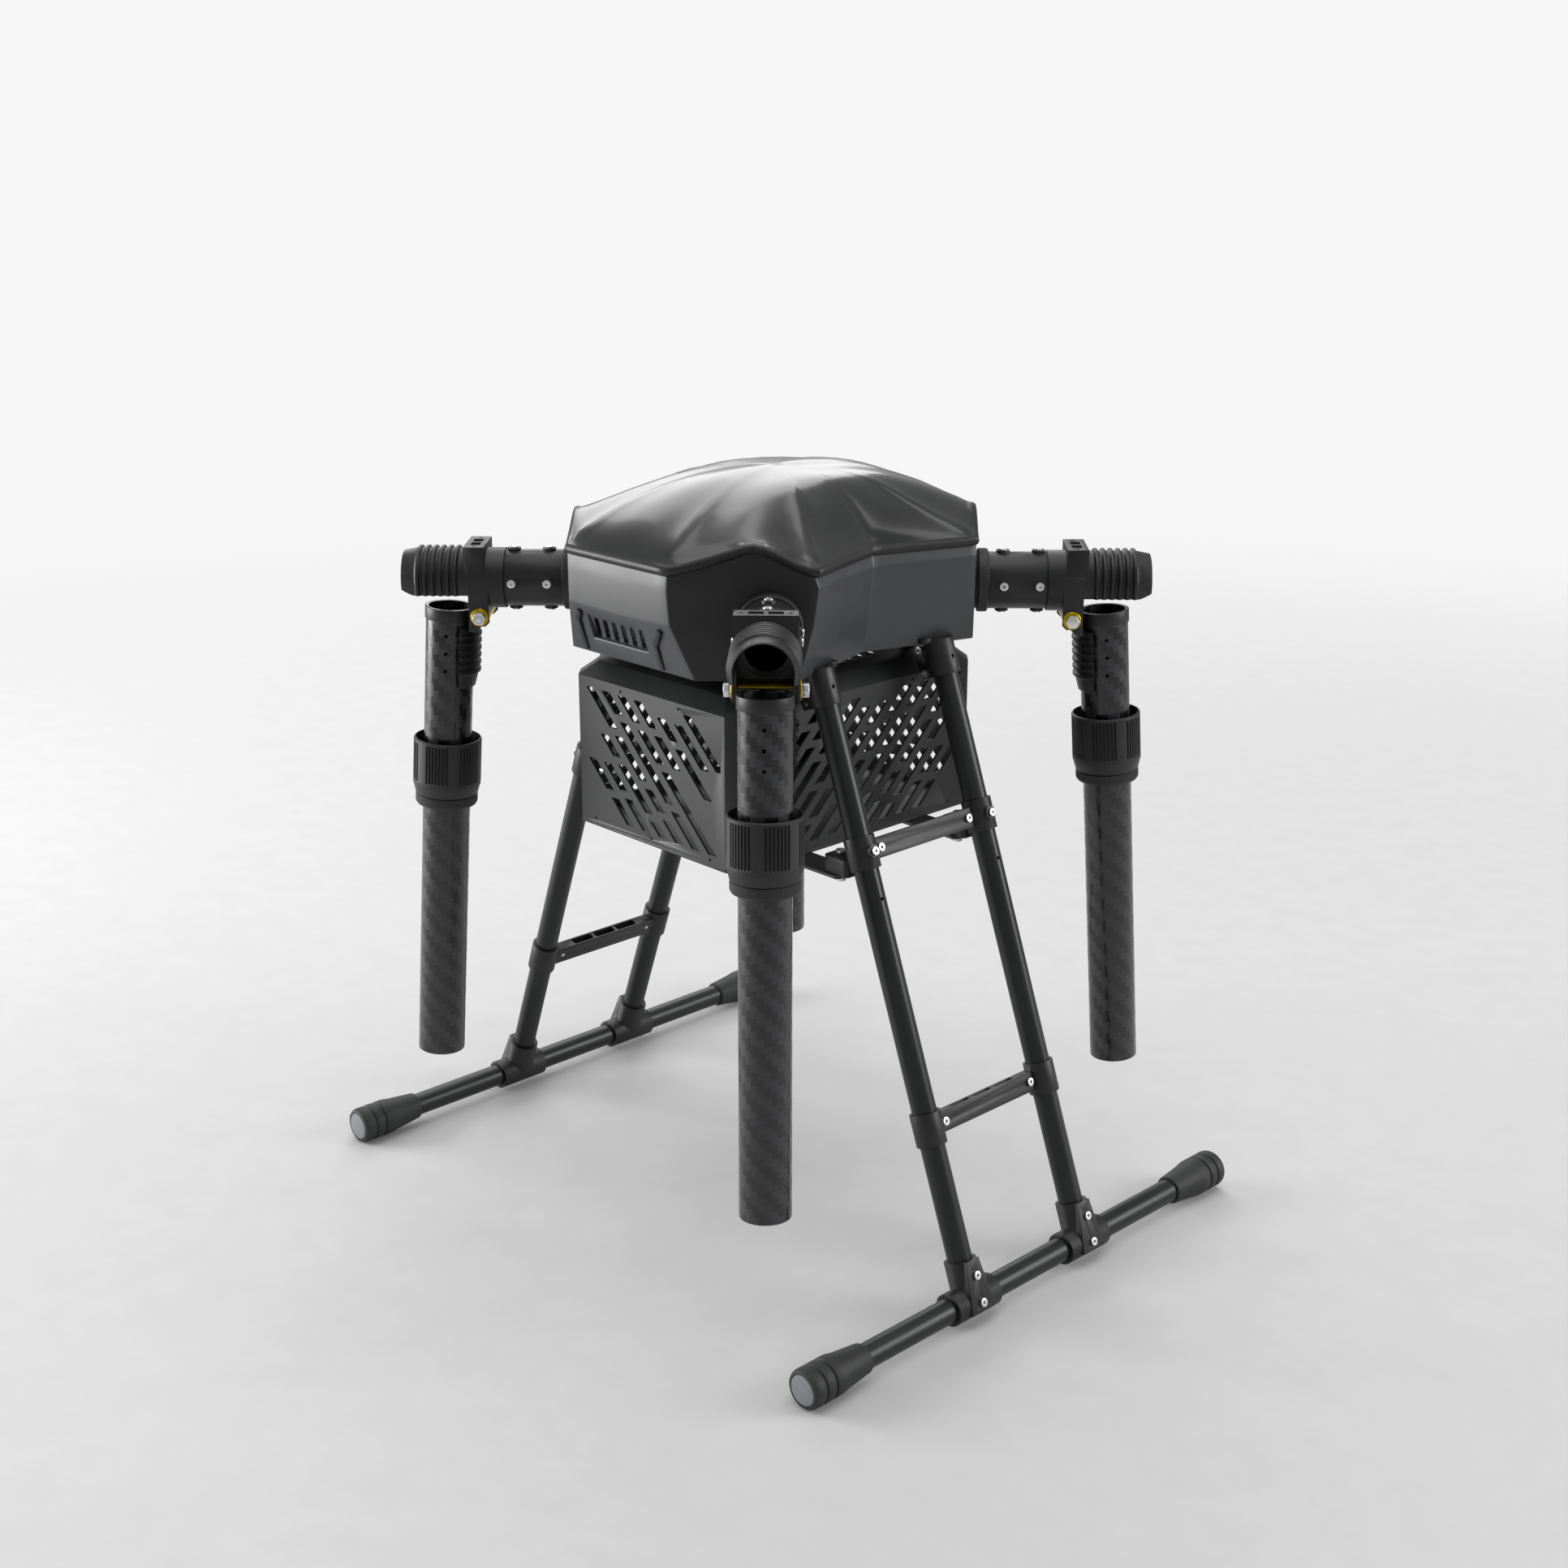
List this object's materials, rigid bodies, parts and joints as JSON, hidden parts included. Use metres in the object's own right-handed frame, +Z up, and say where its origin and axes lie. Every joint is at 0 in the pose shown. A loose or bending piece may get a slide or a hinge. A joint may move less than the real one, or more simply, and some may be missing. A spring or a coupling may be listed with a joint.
{
  "type": "folding drone airframe",
  "caption": "Folding multirotor airframe: domed body, hinged carbon arms with locking sleeves, slotted payload bay and tubular skid landing gear.",
  "frame": {"origin": "on the ground, midway between the two skids and under the centre of the body", "axes": "+Z up, -Y towards the front face with the grille, +X to the right-hand skid; the skids run along Y"},
  "size_m": [0.6178, 0.5016, 0.6295],
  "materials": {
    "cover_plastic": "gloss",
    "shell_plastic": "satin",
    "moulded_nylon": "matte",
    "sleeve_nylon": "satin",
    "carbon_tube": "gloss",
    "bright_steel": "bright zinc",
    "black_screws": "black oxide",
    "brass": "polished",
    "deck_plate": "satin carbon plate",
    "black_alloy": "black anodised",
    "circuit_board": "solder mask",
    "black_housing": "matte",
    "bay_sheet": "satin",
    "leg_tube": "satin black",
    "foot_rubber": "matte",
    "cap_plastic": "satin"
  },
  "bodies": {
    "frame": {"arm_clamps": "black_alloy", "bay_corners": "bay_sheet", "bay_floor": "bay_sheet", "bay_front_panel": "bay_sheet", "bay_hangers": "black_alloy", "bay_left_panel": "bay_sheet", "bay_lid": "bay_sheet", "bay_rear_panel": "bay_sheet", "bay_right_panel": "bay_sheet", "cover_posts": "black_alloy", "cover_screws": "black_screws", "flight_controller": "black_housing", "foot_caps": "cap_plastic", "front_grille": "shell_plastic", "front_left_arm_stub": "moulded_nylon", "front_left_hinge_yoke": "moulded_nylon", "front_right_arm_stub": "moulded_nylon", "front_right_hinge_yoke": "moulded_nylon", "gear_bolts": "bright_steel", "gear_brackets": "bay_sheet", "gear_nuts": "bright_steel", "gear_screws": "bright_steel", "hinge_bolts": "bright_steel", "hinge_bushes": "brass", "hinge_nuts": "bright_steel", "leg_sockets": "moulded_nylon", "leg_tubes": "leg_tube", "lower_braces": "moulded_nylon", "lower_deck": "deck_plate", "lower_shell": "shell_plastic", "power_board": "circuit_board", "rear_left_arm_stub": "moulded_nylon", "rear_left_hinge_yoke": "moulded_nylon", "rear_right_arm_stub": "moulded_nylon", "rear_right_hinge_yoke": "moulded_nylon", "root_rings": "sleeve_nylon", "root_tubes": "carbon_tube", "skid_feet": "foot_rubber", "skid_tees": "moulded_nylon", "skid_tubes": "leg_tube", "stub_screws": "bright_steel", "top_cover": "cover_plastic", "upper_braces": "moulded_nylon", "upper_deck": "deck_plate"},
    "front_right_arm": {"front_right_arm_tube": "carbon_tube", "front_right_thread_insert": "moulded_nylon"},
    "front_right_ring": {"front_right_slide_ring": "sleeve_nylon"},
    "front_right_sleeve": {"front_right_lock_sleeve": "sleeve_nylon"},
    "rear_right_arm": {"rear_right_arm_tube": "carbon_tube", "rear_right_thread_insert": "moulded_nylon"},
    "rear_right_ring": {"rear_right_slide_ring": "sleeve_nylon"},
    "rear_right_sleeve": {"rear_right_lock_sleeve": "sleeve_nylon"},
    "rear_left_arm": {"rear_left_arm_tube": "carbon_tube", "rear_left_thread_insert": "moulded_nylon"},
    "rear_left_ring": {"rear_left_slide_ring": "sleeve_nylon"},
    "rear_left_sleeve": {"rear_left_lock_sleeve": "sleeve_nylon"},
    "front_left_arm": {"front_left_arm_tube": "carbon_tube", "front_left_thread_insert": "moulded_nylon"},
    "front_left_ring": {"front_left_slide_ring": "sleeve_nylon"},
    "front_left_sleeve": {"front_left_lock_sleeve": "sleeve_nylon"}
  },
  "joints": [
    {"name": "front_right_arm_fold", "type": "hinge", "parent": "frame", "child": "front_right_arm", "pos_m": [0.17112, -0.17112, 0.5067], "axis": [-0.7071, -0.7071, 0], "range_deg": [0, 86.2]},
    {"name": "front_right_sleeve_slide", "type": "slide", "parent": "front_right_arm", "child": "front_right_ring", "axis": [-0.0469, 0.0469, 0.9978], "range_m": [-0.25, 0.07]},
    {"name": "front_right_sleeve_turn", "type": "hinge", "parent": "front_right_ring", "child": "front_right_sleeve", "pos_m": [0.19621, -0.19621, 0.39942], "axis": [-0.0469, 0.0469, 0.9978], "continuous": true},
    {"name": "rear_right_arm_fold", "type": "hinge", "parent": "frame", "child": "rear_right_arm", "pos_m": [0.17112, 0.17112, 0.5067], "axis": [0.7071, -0.7071, 0], "range_deg": [0, 86.2]},
    {"name": "rear_right_sleeve_slide", "type": "slide", "parent": "rear_right_arm", "child": "rear_right_ring", "axis": [-0.0469, -0.0469, 0.9978], "range_m": [-0.25, 0.07]},
    {"name": "rear_right_sleeve_turn", "type": "hinge", "parent": "rear_right_ring", "child": "rear_right_sleeve", "pos_m": [0.19621, 0.19621, 0.39942], "axis": [-0.0469, -0.0469, 0.9978], "continuous": true},
    {"name": "rear_left_arm_fold", "type": "hinge", "parent": "frame", "child": "rear_left_arm", "pos_m": [-0.17112, 0.17112, 0.5067], "axis": [0.7071, 0.7071, 0], "range_deg": [0, 86.2]},
    {"name": "rear_left_sleeve_slide", "type": "slide", "parent": "rear_left_arm", "child": "rear_left_ring", "axis": [0.0469, -0.0469, 0.9978], "range_m": [-0.25, 0.07]},
    {"name": "rear_left_sleeve_turn", "type": "hinge", "parent": "rear_left_ring", "child": "rear_left_sleeve", "pos_m": [-0.19621, 0.19621, 0.39942], "axis": [0.0469, -0.0469, 0.9978], "continuous": true},
    {"name": "front_left_arm_fold", "type": "hinge", "parent": "frame", "child": "front_left_arm", "pos_m": [-0.17112, -0.17112, 0.5067], "axis": [-0.7071, 0.7071, 0], "range_deg": [0, 86.2]},
    {"name": "front_left_sleeve_slide", "type": "slide", "parent": "front_left_arm", "child": "front_left_ring", "axis": [0.0469, 0.0469, 0.9978], "range_m": [-0.224, 0.096]},
    {"name": "front_left_sleeve_turn", "type": "hinge", "parent": "front_left_ring", "child": "front_left_sleeve", "pos_m": [-0.19743, -0.19743, 0.37347], "axis": [0.0469, 0.0469, 0.9978], "continuous": true}
  ]
}
